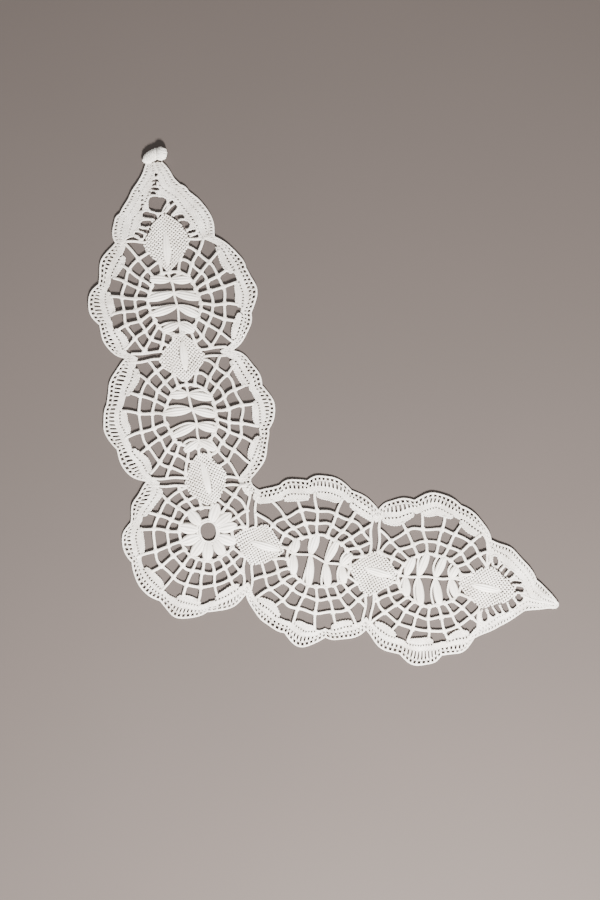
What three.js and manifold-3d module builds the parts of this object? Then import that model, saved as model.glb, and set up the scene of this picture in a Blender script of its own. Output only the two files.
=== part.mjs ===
// A lace collar laid flat in an L, in millimetres, +Z up. The underside lies on z = 0.
// Five spider-web roundels and six net lozenges follow one another along a spine that turns at the
// corner, between an outer edging and a neck edging that meet at the two tips.
import * as THREE from "three";
import { ConvexGeometry } from "three/addons/geometries/ConvexGeometry.js";
import { mergeVertices } from "three/addons/utils/BufferGeometryUtils.js";
import Module from "manifold-3d";

// Driving dimensions.
const CLOTH = 1.2; // thickness of the flat work
const LEAF_HEIGHT = 2.1; // top of a woven leaf
const SEAM = 0.3; // gap between neighbouring pieces
const PLAIT = 1.2; // width of a plait in the webs
const RIM = 1.1; // strip of a web along its outline
const FAN_DEPTH = 3.2; // how far a fan of the edging reaches into the web
const SMALLEST_CELL = 8; // mm2, cells below this stay closed
const SMALLEST_PIECE = 10; // mm3, crumbs below this at the seams are left out
const CURVE_STEP = 4; // longest chord on a curved outline
const ARM_WIDTH = 94; // across an arm, edging to edging
const HIGH = 10; // height of a cutting body, above every piece

// Rings of a web, from the inside out: half width as a share of the web's own half width, half
// length as a share of its half length, and squareness (2 is an ellipse).
const RINGS = [
  // width share, length share, square
  [0.405, 0.44, 2.0],
  [0.6, 0.61, 2.0],
  [0.805, 0.79, 2.1],
  [1.0, 1.0, 2.6],
];

// One row a roundel: middle x and y, heading of the spine towards the upper tip in degrees, the
// web's half length along the spine, and its half width on the outer side and on the neck side.
const ROUNDELS = [
  // name, x, y, heading, half length, outer, neck
  ["upper", -83.1, 58.8, 99.2, 41.0, 36.6, 35.2],
  ["second", -73.7, -5.0, 100.2, 41.0, 36.6, 35.4],
  ["corner", -64.4, -70.8, 135.0, 36.2, 39.6, 31.5],
  ["fourth", -1.7, -86.4, 165.8, 41.0, 36.8, 34.4],
  ["lower", 61.0, -97.7, 172.5, 41.0, 35.8, 36.0],
];

// Headings of each web's spokes in degrees, and those after which a fan of the edging follows.
const SPOKES = [
  {
    spokes: [-62, -50, -33.5, -17, -1.5, 18.5, 32.5, 50, 65.5, 82, 97, 112, 130, 144, 158, 174, 190],
    more: [205.5, 222.5, 237, 252, 266, 281],
    fans: [-33.5, -1.5, 32.5, 144, 174, 205.5],
  },
  {
    spokes: [-66, -52, -39, -23, -8.4, 11.6, 30.5, 50, 64, 83, 98, 114, 128, 142, 158.5, 176.5, 198],
    more: [216, 235, 248, 264, 280],
    fans: [-39, -8.4, 30.5, 142, 176.5, 216],
  },
  {
    spokes: [8, 29, 55, 80, 105, 123, 141, 160.6, 177, 199, 215.6, 232, 248, 262, 278, 295.5],
    more: [310.5, 327, 345],
    fans: [141, 177, 215.6, 248, 278],
  },
  {
    spokes: [5, 19, 34, 52, 69, 93, 110, 128, 143, 160, 178, 196, 211, 226.5, 247, 266, 285],
    more: [300.5, 314, 330, 347],
    fans: [34, 69, 110, 211, 247, 285],
  },
  {
    spokes: [9, 26, 43, 60.5, 77, 97, 115.5, 135, 150, 166, 183, 200, 216, 232, 250, 268, 286.5],
    more: [302, 319, 335, 352],
    fans: [43, 77, 115.5, 216, 250, 286.5],
  },
];

// Woven leaves in pairs: where a pair leaves the spine, and the far end of each leaf.
const LEAF_PAIRS = {
  // spine x, spine y, outer end x, outer end y, neck end x, neck end y
  upper: [
    [-85.5, 71.5, -97.0, 72.0, -73.0, 72.5],
    [-83.5, 63.7, -98.0, 60.5, -70.0, 61.5],
    [-81.7, 56.7, -97.0, 51.5, -70.0, 51.5],
    [-80.3, 47.0, -91.0, 42.0, -72.5, 42.5],
  ],
  second: [
    [-76.0, 8.0, -87.5, 6.0, -64.5, 6.5],
    [-74.5, -0.5, -88.0, -4.0, -60.5, -4.0],
    [-71.3, -10.0, -85.0, -16.5, -59.0, -14.0],
    [-69.3, -19.0, -78.0, -25.0, -60.0, -24.0],
  ],
  fourth: [
    [-15.5, -82.5, -16.0, -94.0, -14.5, -75.0],
    [-6.0, -84.0, -7.0, -99.0, -2.5, -72.5],
    [2.5, -87.5, 3.5, -101.0, 8.0, -77.0],
    [11.5, -89.0, 12.0, -100.0, 17.0, -83.0],
  ],
  lower: [
    [47.5, -95.7, 47.5, -107.0, 51.0, -86.5],
    [54.5, -96.0, 55.5, -110.0, 59.0, -84.5],
    [63.5, -96.3, 66.0, -110.0, 69.0, -85.0],
    [72.5, -96.8, 76.0, -107.0, 76.5, -90.0],
  ],
};
const LEAF_WIDTH = 5.2;
const LEAF_TAIL = 3; // plait between a leaf's far end and the first ring

// The corner roundel: petals round an open eye.
const EYE = { x: -64.3, y: -70.5, width: 8.6, length: 11 };
const PETAL_GAP = { x: -66.8, y: -60.6, width: 4.2, length: 5.8 };
const PETAL = { count: 10, inner: 5.6, outer: 15.2, width: 6.2, first: 51 };

// Net lozenges: middle, half length along the spine, half width across it, heading of the length,
// and the long leaf on it (its own middle, length and width).
const NETS = [
  // x, y, along, across, heading, leaf x, leaf y, leaf length, leaf width
  [-87.6, 93.4, 17.2, 14.0, 95, -87.6, 89.5, 19.0, 4.4],
  [-79.0, 28.0, 14.6, 14.0, 98, -78.3, 29.0, 17.0, 4.2],
  [-65.6, -41.0, 16.6, 13.2, 104, -65.2, -40.5, 20.0, 4.0],
  [-35.6, -77.6, 15.6, 13.0, 164, -32.0, -78.3, 18.0, 4.2],
  [29.2, -93.6, 14.4, 14.0, 166, 32.0, -93.5, 16.0, 4.2],
  [93.0, -101.8, 17.0, 13.0, 169, 92.6, -101.8, 18.0, 4.2],
];
const NET_SQUARE = 1.35; // 1 is a lozenge with straight sides, 2 an ellipse

// The outline in two runs from the upper tip to the lower one. bulge is the height of the arc to
// the next row, outwards.
const OUTER_RUN = [
  // x, y, bulge
  [-98.6, 138.4, -0.4],
  [-107.0, 123.0, 0.3],
  [-114.4, 108.8, 0.3],
  [-117.6, 106.2, 1.4],
  [-116.4, 92.7, 3.4],
  [-126.3, 69.6, 6.2],
  [-126.0, 46.4, 4.6],
  [-110.2, 27.4, 3.2],
  [-121.8, 1.6, 4.4],
  [-116.4, -23.7, 4.8],
  [-98.2, -42.4, 3.0],
  [-108.4, -65.4, 5.4],
  [-107.4, -87.4, 4.4],
  [-91.4, -109.8, 7.2],
  [-64.6, -115.2, 3.4],
  [-42.6, -105.6, 4.0],
  [-21.4, -127.7, 7.0],
  [1.4, -129.7, 4.0],
  [25.0, -125.3, 3.0],
  [43.4, -140.1, 6.2],
  [67.8, -140.2, 3.4],
  [85.6, -130.8, 0.5],
  [100.0, -123.8, 0.4],
  [114.0, -115.6, -0.6],
  [131.0, -113.6, 1.6],
];
const NECK_RUN = [
  // x, y, bulge
  [-90.4, 138.0, 0.4],
  [-79.6, 125.2, 0.6],
  [-75.4, 121.9, 4.2],
  [-60.0, 95.6, 3.2],
  [-43.0, 78.4, 4.6],
  [-39.8, 53.6, 3.8],
  [-51.0, 32.0, 4.2],
  [-33.6, 12.0, 5.8],
  [-30.4, -13.0, 3.8],
  [-39.6, -40.2, -1.6],
  [-35.4, -46.9, 0.4],
  [-24.0, -44.2, 2.4],
  [-9.0, -41.3, 5.4],
  [16.4, -46.7, 2.4],
  [31.4, -58.2, 3.4],
  [52.4, -52.2, 5.6],
  [78.8, -55.6, 3.2],
  [95.2, -74.8, 4.4],
  [120.6, -97.4, 0.8],
  [132.2, -109.4, 0],
];

// Seams between the roundels: the notch on the outer side and the one on the neck side.
const SEAMS = [
  // outer x, outer y, neck x, neck y
  [-116.4, 92.7, -60.0, 95.6],
  [-110.2, 27.4, -51.0, 32.0],
  [-98.2, -42.4, -39.6, -42.0],
  [-42.6, -105.6, -38.6, -44.4],
  [25.0, -125.3, 31.4, -58.2],
  [86.4, -130.4, 95.2, -74.8],
];

// Gaps in the two tips.
const TIP_GAPS = {
  upper: [
    // x, y, length, width, heading
    [-93.0, 114.6, 8.6, 7.4, 80],
    [-97.2, 108.0, 7.4, 2.8, 0],
    [-99.2, 103.3, 6.0, 2.6, 0],
    [-103.4, 98.0, 5.0, 2.8, -18],
    [-85.2, 111.8, 6.6, 2.2, 42],
    [-78.2, 103.0, 5.6, 3.6, -10],
    [-80.8, 107.2, 5.0, 1.8, 25],
  ],
  lower: [
    [113.0, -103.2, 5.2, 2.8, -20],
    [111.2, -108.2, 5.2, 3.0, -35],
    [106.4, -111.2, 5.0, 3.2, -40],
    [101.6, -113.2, 4.6, 2.6, -45],
    [102.4, -93.4, 5.0, 2.8, 65],
    [97.0, -87.0, 5.4, 2.8, 75],
    [91.2, -85.0, 6.6, 2.6, 90],
    [106.6, -95.6, 5.0, 2.0, 50],
  ],
};

// The knot: rounded lobes of the turned end, parted from the upper tip along a line.
const KNOT_BOX = { left: -104, right: -84, low: 138.7, high: 150 };
const KNOT_LOBES = [
  // x, y, z, half length, half width, half height, heading
  [-95.6, 142.0, 1.5, 5.4, 3.4, 2.0, 20],
  [-90.6, 142.6, 1.8, 3.8, 3.4, 2.4, 80],
  [-98.0, 139.9, 1.1, 3.0, 2.0, 1.5, -5],
];

const IVORY = new THREE.Color(0xece6dc);
const radians = THREE.MathUtils.degToRad;

const wasm = await Module();
wasm.setup();

function toSolid(geometry) {
  const bare = geometry.clone();
  bare.deleteAttribute("normal");
  bare.deleteAttribute("uv");
  const merged = mergeVertices(bare, 1e-4);
  return new wasm.Manifold(
    new wasm.Mesh({
      numProp: 3,
      vertProperties: new Float32Array(merged.attributes.position.array),
      triVerts: new Uint32Array(merged.index.array),
    }),
  );
}

function toGeometry(solid) {
  const mesh = solid.getMesh();
  const corners = new Float32Array(mesh.numVert * 3);
  for (let i = 0; i < mesh.numVert; i += 1) {
    corners.set(mesh.vertProperties.subarray(i * mesh.numProp, i * mesh.numProp + 3), i * 3);
  }
  const geometry = new THREE.BufferGeometry();
  geometry.setAttribute("position", new THREE.BufferAttribute(corners, 3));
  geometry.setIndex(new THREE.BufferAttribute(new Uint32Array(mesh.triVerts), 1));
  geometry.computeVertexNormals();
  return geometry;
}

// A flat plate with the outline given, from the height bottom up to the height top.
function plate(outline, bottom = 0, top = CLOTH) {
  const shape = new THREE.Shape(outline);
  const geometry = new THREE.ExtrudeGeometry(shape, { depth: top - bottom, bevelEnabled: false });
  geometry.translate(0, 0, bottom);
  return toSolid(geometry);
}

function cutter(outline) {
  return plate(outline, -1, HIGH);
}

function unite(solids) {
  return solids.reduce((whole, next) => whole.add(next));
}

function largest(solid) {
  return solid.decompose().reduce((best, next) => (next.volume() > best.volume() ? next : best));
}

// Points from a to just before b along an arc of the height bulge, to the left of a-b.
function arc(a, b, bulge) {
  const chord = b.clone().sub(a);
  const length = chord.length();
  const left = new THREE.Vector2(-chord.y, chord.x).normalize();
  const steps = Math.max(1, Math.ceil(length / CURVE_STEP));
  const points = [];
  for (let i = 0; i < steps; i += 1) {
    const t = i / steps;
    const height = bulge * 4 * t * (1 - t);
    points.push(a.clone().addScaledVector(chord, t).addScaledVector(left, height));
  }
  return points;
}

// The points of one run of the outline; side is 1 where outwards is to the right of the run.
function runPoints(rows, side) {
  const points = [];
  for (let i = 0; i + 1 < rows.length; i += 1) {
    const [x, y, bulge] = rows[i];
    const [nextX, nextY] = rows[i + 1];
    points.push(...arc(new THREE.Vector2(x, y), new THREE.Vector2(nextX, nextY), -side * bulge));
  }
  const [lastX, lastY] = rows.at(-1);
  points.push(new THREE.Vector2(lastX, lastY));
  return points;
}

const collarOutline = [...runPoints(OUTER_RUN, 1), ...runPoints(NECK_RUN, -1).reverse()];

function polar(x, y, radius, degrees) {
  const angle = radians(degrees);
  return new THREE.Vector2(x + radius * Math.cos(angle), y + radius * Math.sin(angle));
}

// Distance from a roundel's middle to one of its rings, in the direction given in degrees.
function ringRadius(roundel, ring, degrees) {
  const [, , , heading, halfLength, outer, neck] = roundel;
  const [widthShare, lengthShare, square] = RINGS[ring];
  const turn = radians(degrees - heading);
  const across = Math.abs(Math.sin(turn)) / (widthShare * (Math.sin(turn) > 0 ? outer : neck));
  const along = Math.abs(Math.cos(turn)) / (lengthShare * halfLength);
  return (across ** square + along ** square) ** (-1 / square);
}

// The edge of a web: its last ring, with the fans of the edging reaching in.
function edgeRadius(index, degrees) {
  const radius = ringRadius(ROUNDELS[index], 3, degrees);
  const { fans } = SPOKES[index];
  const spokes = spokesOf(index);
  for (const start of fans) {
    const end = spokes[(spokes.indexOf(start) + 1) % spokes.length];
    const width = (end - start + 360) % 360;
    const place = (degrees - start + 720) % 360;
    if (place < width) {
      return radius - FAN_DEPTH * Math.sin((Math.PI * place) / width);
    }
  }
  return radius;
}

function spokesOf(index) {
  return [...SPOKES[index].spokes, ...SPOKES[index].more];
}

// Outline of a web, grown by the amount given.
function webOutline(index, grow) {
  const [, x, y] = ROUNDELS[index];
  const spokes = spokesOf(index);
  const points = [];
  spokes.forEach((start, i) => {
    const width = (spokes[(i + 1) % spokes.length] - start + 360) % 360;
    for (const share of SPOKES[index].fans.includes(start) ? [0, 0.25, 0.5, 0.75] : [0, 0.5]) {
      const degrees = start + share * width;
      points.push(polar(x, y, edgeRadius(index, degrees) + grow, degrees));
    }
  });
  return points;
}

// The four-sided gap between two rings and two spokes, with a middle point on its far side.
function cellOutline(index, ring, start, end) {
  const roundel = ROUNDELS[index];
  const [, x, y] = roundel;
  const near = (degrees) => ringRadius(roundel, ring, degrees) + PLAIT / 2;
  const far = (degrees) =>
    ring === 2 ? edgeRadius(index, degrees) - RIM : ringRadius(roundel, ring + 1, degrees) - PLAIT / 2;
  const inset = (radius) => THREE.MathUtils.radToDeg(PLAIT / 2 / radius);
  const middle = (start + end) / 2;
  const corners = [
    [near(start), start + inset(near(start))],
    [far(start), start + inset(far(start))],
    [far(middle), middle],
    [far(end), end - inset(far(end))],
    [near(end), end - inset(near(end))],
  ];
  if (ring < 2) {
    corners.splice(2, 1);
  }
  return corners.map(([radius, degrees]) => polar(x, y, radius, degrees)).reverse();
}

// A closed curve like an ellipse, more or less square.
function roundOutline(x, y, halfLength, halfWidth, heading, square, count) {
  const points = [];
  for (let i = 0; i < count; i += 1) {
    const angle = (2 * Math.PI * i) / count;
    const cos = Math.cos(angle);
    const sin = Math.sin(angle);
    const along = Math.sign(cos) * Math.abs(cos) ** (2 / square) * halfLength;
    const across = Math.sign(sin) * Math.abs(sin) ** (2 / square) * halfWidth;
    points.push(new THREE.Vector2(along, across));
  }
  const centre = new THREE.Vector2();
  return points.map((p) => p.rotateAround(centre, radians(heading)).add(new THREE.Vector2(x, y)));
}

function netOutline(net, grow) {
  const [x, y, along, across, heading] = net;
  return roundOutline(x, y, along + grow * 1.2, across + grow * 1.2, heading, NET_SQUARE, 24);
}

// The four-cornered stretch between two seams, on both sides of the spine.
function stretch(before, after) {
  const corners = [];
  const reach = 60;
  for (const [seam, side] of [[before, 1], [after, -1]]) {
    const outer = new THREE.Vector2(seam[0], seam[1]);
    const neck = new THREE.Vector2(seam[2], seam[3]);
    const across = neck.clone().sub(outer).normalize();
    const inwards = new THREE.Vector2(across.y, -across.x).multiplyScalar((side * SEAM) / 2);
    corners.push([outer.addScaledVector(across, -reach).add(inwards), neck.add(inwards), across, reach]);
  }
  const [[outerA, neckA, acrossA], [outerB, neckB, acrossB]] = corners;
  const meet = neckA.distanceTo(neckB) < 10;
  const farA = meet ? neckA : neckA.clone().addScaledVector(acrossA, reach);
  const farB = meet ? neckB : neckB.clone().addScaledVector(acrossB, reach);
  return [outerA, outerB, farB, farA];
}

// A woven leaf lying from a to b: an oval with pointed ends and a rounded back.
function leafBody(a, b, width, height = LEAF_HEIGHT) {
  const length = a.distanceTo(b);
  const heading = Math.atan2(b.y - a.y, b.x - a.x);
  const points = [];
  const stations = 5;
  for (let i = 0; i <= stations; i += 1) {
    const t = i / stations;
    const half = (width / 2) * Math.max(0.08, Math.sin(Math.PI * t) ** 0.8);
    for (const [side, level] of [[-1, 0], [-1, 0.6], [-0.45, 1], [0.45, 1], [1, 0.6], [1, 0]]) {
      const top = Math.max(CLOTH, height * (0.5 + 0.5 * Math.sin(Math.PI * t)) * level);
      points.push(new THREE.Vector3(t * length, side * half, level === 0 ? 0 : top));
    }
  }
  const geometry = new ConvexGeometry(points);
  geometry.rotateZ(heading);
  geometry.translate(a.x, a.y, 0);
  return toSolid(geometry);
}

// A straight bar of the flat work from a to b.
function bar(a, b, width = PLAIT) {
  const along = b.clone().sub(a).normalize();
  const half = new THREE.Vector2(-along.y, along.x).multiplyScalar(width / 2);
  return plate([a.clone().sub(half), b.clone().sub(half), b.clone().add(half), a.clone().add(half)]);
}

const collar = cutter(collarOutline);

function netClearance(grow) {
  return unite(NETS.map((net) => cutter(netOutline(net, grow))));
}
const netsAndSeam = netClearance(SEAM);
const netsAndRim = netClearance(SEAM + RIM);

// The stretch of the collar that holds a roundel and its edgings, without the nets. The wedge
// between two seams also crosses the far arm, and what it takes there is left out.
function bayOf(index) {
  const [, x, y] = ROUNDELS[index];
  const wedge = cutter(stretch(SEAMS[index], SEAMS[index + 1]));
  const bodies = collar.intersect(wedge).subtract(netsAndSeam).decompose();
  const own = bodies.filter((body) => {
    const { min, max } = body.boundingBox();
    return Math.hypot((min[0] + max[0]) / 2 - x, (min[1] + max[1]) / 2 - y) < ARM_WIDTH / 2;
  });
  return unite(own);
}

function webCells(index) {
  const spokes = spokesOf(index);
  const wedge = stretch(SEAMS[index], SEAMS[index + 1]);
  const inner = cutter(wedge).subtract(netsAndRim);
  const cells = [];
  for (let ring = 0; ring < 3; ring += 1) {
    spokes.forEach((start, i) => {
      const width = (spokes[(i + 1) % spokes.length] - start + 360) % 360;
      const cell = cutter(cellOutline(index, ring, start, start + width)).intersect(inner);
      cells.push(...cell.decompose().filter((c) => c.volume() > SMALLEST_CELL * (HIGH + 1)));
    });
  }
  return cells;
}

function leavesOf(rows) {
  const parts = [];
  for (const [x, y, outerX, outerY, neckX, neckY] of rows) {
    const node = new THREE.Vector2(x, y);
    for (const end of [new THREE.Vector2(outerX, outerY), new THREE.Vector2(neckX, neckY)]) {
      parts.push(leafBody(node, end, LEAF_WIDTH));
      parts.push(bar(node, end.clone().add(end.clone().sub(node).setLength(LEAF_TAIL))));
    }
  }
  for (let i = 0; i + 1 < rows.length; i += 1) {
    parts.push(bar(new THREE.Vector2(rows[i][0], rows[i][1]), new THREE.Vector2(rows[i + 1][0], rows[i + 1][1])));
  }
  return parts;
}

function eyeAndPetals() {
  const opening = ({ x, y, length, width }) => cutter(roundOutline(x, y, length / 2, width / 2, 90, 2, 12));
  const petals = [];
  for (let i = 0; i < PETAL.count; i += 1) {
    const heading = PETAL.first + (i * 360) / PETAL.count;
    const a = polar(EYE.x, EYE.y, PETAL.inner, heading);
    const b = polar(EYE.x, EYE.y, PETAL.outer, heading);
    petals.push(leafBody(a, b, PETAL.width));
  }
  return { openings: opening(EYE).add(opening(PETAL_GAP)), petals };
}

function webOf(index) {
  const roundel = ROUNDELS[index];
  const [name, x, y] = roundel;
  const flat = bayOf(index).intersect(plate(webOutline(index, 0)));
  let web = flat.subtract(unite(webCells(index)));
  if (name === "corner") {
    const { openings, petals } = eyeAndPetals();
    web = web.add(unite(petals).subtract(netsAndSeam)).subtract(openings);
  } else {
    const firstRing = (grow) => {
      const points = [];
      for (let degrees = 0; degrees < 360; degrees += 15) {
        points.push(polar(x, y, ringRadius(roundel, 0, degrees) + grow, degrees));
      }
      return points;
    };
    const inside = cutter(firstRing(-PLAIT / 2));
    const rows = LEAF_PAIRS[name];
    const first = new THREE.Vector2(rows[0][0], rows[0][1]);
    const last = new THREE.Vector2(rows.at(-1)[0], rows.at(-1)[1]);
    const heading = roundel[3];
    const [up, down] = [polar(first.x, first.y, 9, heading), polar(last.x, last.y, 9, heading + 180)];
    const spine = [bar(up, first), bar(last, down)];
    const disc = plate(firstRing(PLAIT / 4), 0, LEAF_HEIGHT).subtract(netsAndSeam);
    web = web.subtract(inside).add(unite([...leavesOf(rows), ...spine]).intersect(disc));
  }
  return largest(web);
}

function netOf(net) {
  const [, , , , heading, x, y, length, width] = net;
  const a = polar(x, y, length / 2, heading);
  const b = polar(x, y, length / 2, heading + 180);
  return plate(netOutline(net, 0)).add(leafBody(a, b, width));
}

function tipOf(name) {
  const upper = name === "upper";
  const seam = upper ? SEAMS[0] : SEAMS.at(-1);
  const far = upper ? [-130, 150, -50, 150] : [150, -150, 150, -60];
  const wedge = upper ? stretch(far, seam) : stretch(seam, far);
  let tip = collar.intersect(cutter(wedge)).subtract(netsAndSeam).intersect(plate(collarOutline));
  for (const [x, y, length, width, heading] of TIP_GAPS[name]) {
    const gap = cutter(roundOutline(x, y, length / 2, width / 2, heading, 3, 8));
    tip = tip.subtract(gap.subtract(netsAndRim));
  }
  return tip;
}

function knot() {
  const lobes = KNOT_LOBES.map(([x, y, z, halfLength, halfWidth, halfHeight, heading]) => {
    const geometry = new THREE.SphereGeometry(1, 10, 6);
    geometry.scale(halfLength, halfWidth, halfHeight);
    geometry.rotateZ(radians(heading));
    geometry.translate(x, y, z);
    return toSolid(geometry);
  });
  const { left, right, low, high } = KNOT_BOX;
  const corners = [[left, low], [right, low], [right, high], [left, high]];
  const room = plate(corners.map(([x, y]) => new THREE.Vector2(x, y)), 0, HIGH);
  return unite(lobes).intersect(room);
}

const group = new THREE.Group();
group.name = "lace_collar";

function addPiece(name, solid) {
  const material = new THREE.MeshStandardMaterial({ color: IVORY, roughness: 0.9, metalness: 0 });
  const mesh = new THREE.Mesh(toGeometry(solid), material);
  mesh.name = name;
  group.add(mesh);
}

ROUNDELS.forEach((roundel, index) => {
  const [name, x, y, heading] = roundel;
  addPiece(`web_${name}`, webOf(index));
  const band = bayOf(index).intersect(plate(collarOutline)).subtract(cutter(webOutline(index, SEAM)));
  for (const body of band.decompose()) {
    const { min, max } = body.boundingBox();
    const middle = new THREE.Vector2((min[0] + max[0]) / 2 - x, (min[1] + max[1]) / 2 - y);
    const side = middle.rotateAround(new THREE.Vector2(), -radians(heading)).y > 0 ? "outer" : "neck";
    if (body.volume() > SMALLEST_PIECE) {
      addPiece(`${side}_edging_${name}`, body);
    }
  }
});
NETS.forEach((net, i) => addPiece(`net_${i + 1}`, netOf(net)));
addPiece("tip_upper", tipOf("upper"));
addPiece("tip_lower", tipOf("lower"));
addPiece("knot", knot());

// The origin is the middle of the collar's footprint, on the surface it lies on.
const middle = new THREE.Box3().setFromObject(group).getCenter(new THREE.Vector3());
group.position.set(-middle.x, -middle.y, 0);

export default group;
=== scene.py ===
"""A lace collar laid flat in an L: plaited webs, woven leaves, twisted net and clothwork edging.

Tables are in millimetres, x to the right and y up over the laid collar, z up from the surface.
"""
import math

import bmesh
import bpy
import numpy as np
from mathutils import Matrix, Vector


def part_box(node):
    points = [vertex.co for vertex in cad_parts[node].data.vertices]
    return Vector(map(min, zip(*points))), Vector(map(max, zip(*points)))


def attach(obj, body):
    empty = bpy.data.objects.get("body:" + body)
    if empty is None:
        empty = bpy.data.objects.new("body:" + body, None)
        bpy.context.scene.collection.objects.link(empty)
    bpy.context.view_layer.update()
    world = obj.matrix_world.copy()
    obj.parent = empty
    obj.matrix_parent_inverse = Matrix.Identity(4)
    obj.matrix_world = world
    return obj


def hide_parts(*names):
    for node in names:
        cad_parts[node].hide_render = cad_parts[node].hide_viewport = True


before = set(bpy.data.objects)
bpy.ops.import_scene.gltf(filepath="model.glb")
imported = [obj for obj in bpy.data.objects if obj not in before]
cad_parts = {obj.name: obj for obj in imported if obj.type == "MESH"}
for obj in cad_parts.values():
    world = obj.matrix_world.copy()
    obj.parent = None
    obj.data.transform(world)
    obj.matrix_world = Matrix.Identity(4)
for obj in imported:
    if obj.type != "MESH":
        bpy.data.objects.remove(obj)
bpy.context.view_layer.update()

MM = 0.001
NET_TWO_MIDDLE = (-79.0, 28.0)  # the second net's middle in the tables
low_corner, high_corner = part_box("net_2")
SHIFT = np.array(
    [(low_corner[i] + high_corner[i]) / 2 / MM - NET_TWO_MIDDLE[i] for i in range(2)]
)

# ---------------------------------------------------------------- sizes

RINGS = [
    # width share, length share, square
    (0.405, 0.44, 2.0),
    (0.6, 0.61, 2.0),
    (0.805, 0.79, 2.1),
    (1.0, 1.0, 2.6),
]
ROUNDELS = [
    # name, x, y, heading, half length, outer, neck
    ("upper", -83.1, 58.8, 99.2, 41.0, 36.6, 35.2),
    ("second", -73.7, -5.0, 100.2, 41.0, 36.6, 35.4),
    ("corner", -64.4, -70.8, 135.0, 36.2, 39.6, 31.5),
    ("fourth", -1.7, -86.4, 165.8, 41.0, 36.8, 34.4),
    ("lower", 61.0, -97.7, 172.5, 41.0, 35.8, 36.0),
]
SPOKES = [
    [-62, -50, -33.5, -17, -1.5, 18.5, 32.5, 50, 65.5, 82, 97, 112, 130, 144, 158, 174, 190]
    + [205.5, 222.5, 237, 252, 266, 281],
    [-66, -52, -39, -23, -8.4, 11.6, 30.5, 50, 64, 83, 98, 114, 128, 142, 158.5, 176.5, 198]
    + [216, 235, 248, 264, 280],
    [8, 29, 55, 80, 105, 123, 141, 160.6, 177, 199, 215.6, 232, 248, 262, 278, 295.5]
    + [310.5, 327, 345],
    [5, 19, 34, 52, 69, 93, 110, 128, 143, 160, 178, 196, 211, 226.5, 247, 266, 285]
    + [300.5, 314, 330, 347],
    [9, 26, 43, 60.5, 77, 97, 115.5, 135, 150, 166, 183, 200, 216, 232, 250, 268, 286.5]
    + [302, 319, 335, 352],
]
FANS = [
    # first and last heading of a fan, and how far its inner edge lies inside the last ring
    [(-31, -9, 3.5), (-4, 20, 0.4), (27, 53, 4.0), (139, 159, 6.0), (170, 192, 1.8), (203, 223, 5.0)],
    [(-37, -16, 2.6), (-8, 14, 0.8), (28, 53, 5.0), (140, 163, 5.5), (175, 196, 0.5), (209, 233, 5.5)],
    [(139, 167, 5.0), (176, 199, 5.2), (210, 232, 1.6), (244, 264, 3.4), (275, 298, 6.4)],
    [(37, 60, 3.5), (69, 92, 0.2), (97, 120, 3.2), (213, 236, 4.2), (248, 268, 0.2), (280, 298, 4.0)],
    [(42, 64, 4.7), (70, 97, -0.6), (104, 128, 4.5), (219, 240, 4.2), (249, 273, 2.4), (284, 304, 7.0)],
]
FAN_CLOTH = 3.6  # depth of a fan's cloth
FAN_HOLES = 1.2  # depth of the row of small holes along a fan
BAND_CLOTH = 2.5  # depth of the cloth between the ladder and the small holes

LEAF_PAIRS = {
    # spine x, spine y, outer end x, outer end y, neck end x, neck end y
    "upper": [
        (-85.5, 71.5, -97.0, 72.0, -73.0, 72.5),
        (-83.5, 63.7, -98.0, 60.5, -70.0, 61.5),
        (-81.7, 56.7, -97.0, 51.5, -70.0, 51.5),
        (-80.3, 47.0, -91.0, 42.0, -72.5, 42.5),
    ],
    "second": [
        (-75.6, 7.4, -87.5, 6.6, -64.5, 5.6),
        (-73.2, -1.2, -88.0, -3.6, -60.5, -4.6),
        (-70.8, -9.6, -84.0, -15.6, -59.0, -13.6),
        (-69.3, -19.0, -78.0, -25.0, -60.0, -24.0),
    ],
    "fourth": [
        (-15.5, -82.5, -16.0, -94.0, -14.5, -75.0),
        (-6.0, -84.0, -7.0, -99.0, -2.5, -72.5),
        (2.5, -87.5, 3.5, -101.0, 8.0, -77.0),
        (11.5, -89.0, 12.0, -100.0, 17.0, -83.0),
    ],
    "lower": [
        (47.5, -95.7, 47.5, -107.0, 51.0, -86.5),
        (54.5, -96.0, 55.5, -110.0, 59.0, -84.5),
        (63.5, -96.3, 66.0, -110.0, 69.0, -85.0),
        (72.5, -96.8, 76.0, -107.0, 76.5, -90.0),
    ],
}
LEAF_WIDTH = 4.9
EYE = (-64.3, -70.5, 11.0, 8.6, 90)
PETAL_HEADINGS = [13, 40, 70, 134, 169, 203, 236, 268, 303, 337]
PETAL = {"inner": 5.6, "outer": 16.8, "width": 6.4}

NETS = [
    # x, y, along, across, heading, leaf x, leaf y, leaf length, leaf width
    (-87.6, 93.4, 17.2, 14.0, 95, -87.6, 89.5, 19.0, 4.4),
    (-79.0, 28.0, 14.6, 14.0, 98, -78.3, 29.0, 17.0, 4.2),
    (-65.6, -41.0, 16.6, 13.2, 104, -65.2, -40.5, 20.0, 4.0),
    (-35.6, -77.6, 15.6, 13.0, 164, -32.0, -78.3, 18.0, 4.2),
    (29.2, -93.6, 14.4, 14.0, 166, 32.0, -93.5, 16.0, 4.2),
    (93.0, -101.8, 17.0, 13.0, 169, 92.6, -101.8, 18.0, 4.2),
]
NET_SQUARE = 1.35
NET_PITCH = 1.5
NET_HOLD = -1.7  # the plaits run this far over the net's edge

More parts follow.
